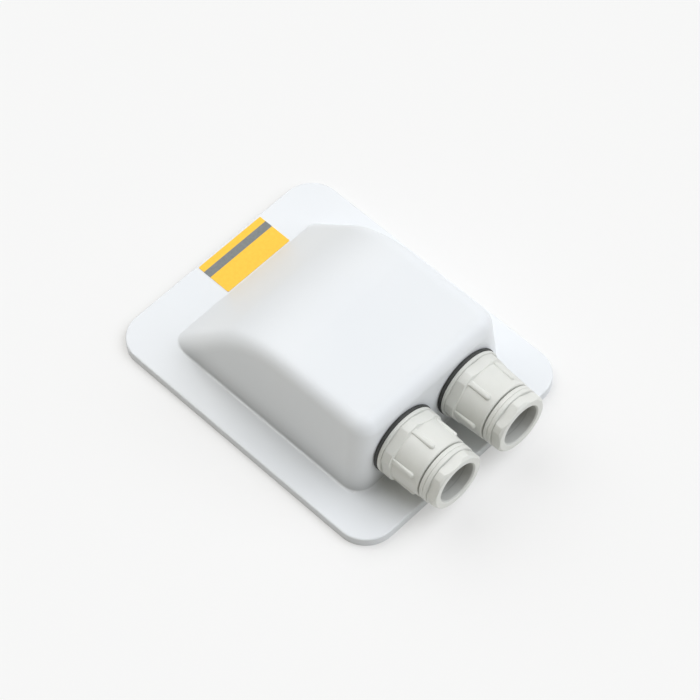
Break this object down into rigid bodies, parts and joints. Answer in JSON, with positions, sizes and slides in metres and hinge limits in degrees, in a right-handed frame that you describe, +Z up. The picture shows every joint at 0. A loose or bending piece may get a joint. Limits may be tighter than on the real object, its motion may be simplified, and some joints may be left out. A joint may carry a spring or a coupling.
{
  "type": "roof cable entry housing",
  "caption": "Low formed plastic roof entry housing with a flat flange, a wedge-shaped hump and grey screw cable glands side by side in its upright front wall.",
  "frame": {"origin": "centre of the flange's underside, in the mouth of the hollow that goes over the cable hole in the roof", "axes": "+Z up from the roof; -Y out of the cable glands; +X to the right when looking along +Y at the glands"},
  "size_m": [0.126, 0.1726, 0.0508],
  "materials": {
    "housing_plastic": "satin white thermoformed sheet",
    "gland_plastic": "light grey nylon",
    "seal_rubber": "matt black rubber",
    "washer_plastic": "natural nylon",
    "sticker": "yellow vinyl"
  },
  "bodies": {
    "roof_housing": {"housing": "housing_plastic", "label": "sticker", "wall_seal_left": "seal_rubber", "wall_seal_right": "seal_rubber", "gland_body_left": "gland_plastic", "gland_body_right": "gland_plastic", "locknut_left": "gland_plastic", "locknut_right": "gland_plastic", "inner_washer_left": "washer_plastic", "inner_washer_right": "washer_plastic", "sealing_ring_left": "seal_rubber", "sealing_ring_right": "seal_rubber"},
    "press_left": {"outer_washer_left": "washer_plastic"},
    "press_right": {"outer_washer_right": "washer_plastic"},
    "nut_left": {"clamping_nut_left": "gland_plastic"},
    "nut_right": {"clamping_nut_right": "gland_plastic"}
  },
  "joints": [
    {"name": "nut_travel_left", "type": "slide", "parent": "roof_housing", "child": "press_left", "axis": [0, -1, 0], "range_m": [-0.00063, 0.0075], "deforming": ["sealing_ring_left"]},
    {"name": "nut_turn_left", "type": "hinge", "parent": "press_left", "child": "nut_left", "pos_m": [-0.0197, -0.08, 0.0248], "axis": [0, -1, 0], "range_deg": [-150, 1800]},
    {"name": "nut_travel_right", "type": "slide", "parent": "roof_housing", "child": "press_right", "axis": [0, -1, 0], "range_m": [-0.00063, 0.0075], "deforming": ["sealing_ring_right"]},
    {"name": "nut_turn_right", "type": "hinge", "parent": "press_right", "child": "nut_right", "pos_m": [0.0197, -0.08, 0.0248], "axis": [0, -1, 0], "range_deg": [-150, 1800]}
  ],
  "couplings": [
    {"joint": "nut_travel_left", "follows": "nut_turn_left", "m_per_rad": 0.0002387},
    {"joint": "nut_travel_right", "follows": "nut_turn_right", "m_per_rad": 0.0002387}
  ]
}
